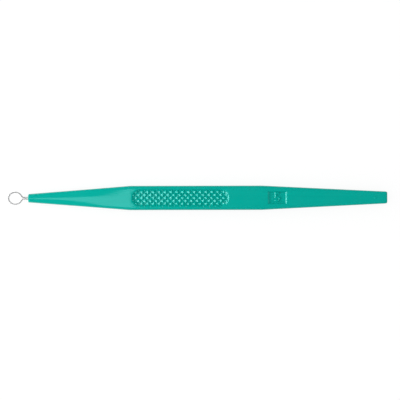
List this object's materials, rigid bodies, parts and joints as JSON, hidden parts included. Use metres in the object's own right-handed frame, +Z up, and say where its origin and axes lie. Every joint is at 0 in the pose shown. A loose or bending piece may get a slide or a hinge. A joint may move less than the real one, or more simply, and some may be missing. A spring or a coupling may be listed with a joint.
{
  "type": "dermal curette",
  "caption": "Disposable dermal curette: a sharp oval steel ring on a tapered flat plastic handle with knurled grip recesses and a size mark.",
  "frame": {"origin": "under the middle of the whole length, on the surface that the grip's flat underside lies on", "axes": "+X along the handle, from the loop to the rear end; +Y across the handle; +Z up, through its thickness, out of the face with the size mark"},
  "size_m": [0.144, 0.0092, 0.005],
  "materials": {
    "handle_plastic": "moulded teal green plastic with a soft gloss",
    "blade_steel": "ground and polished stainless steel strip"
  },
  "bodies": {
    "root": {"handle": "handle_plastic", "loop_blade": "blade_steel"}
  },
  "joints": []
}
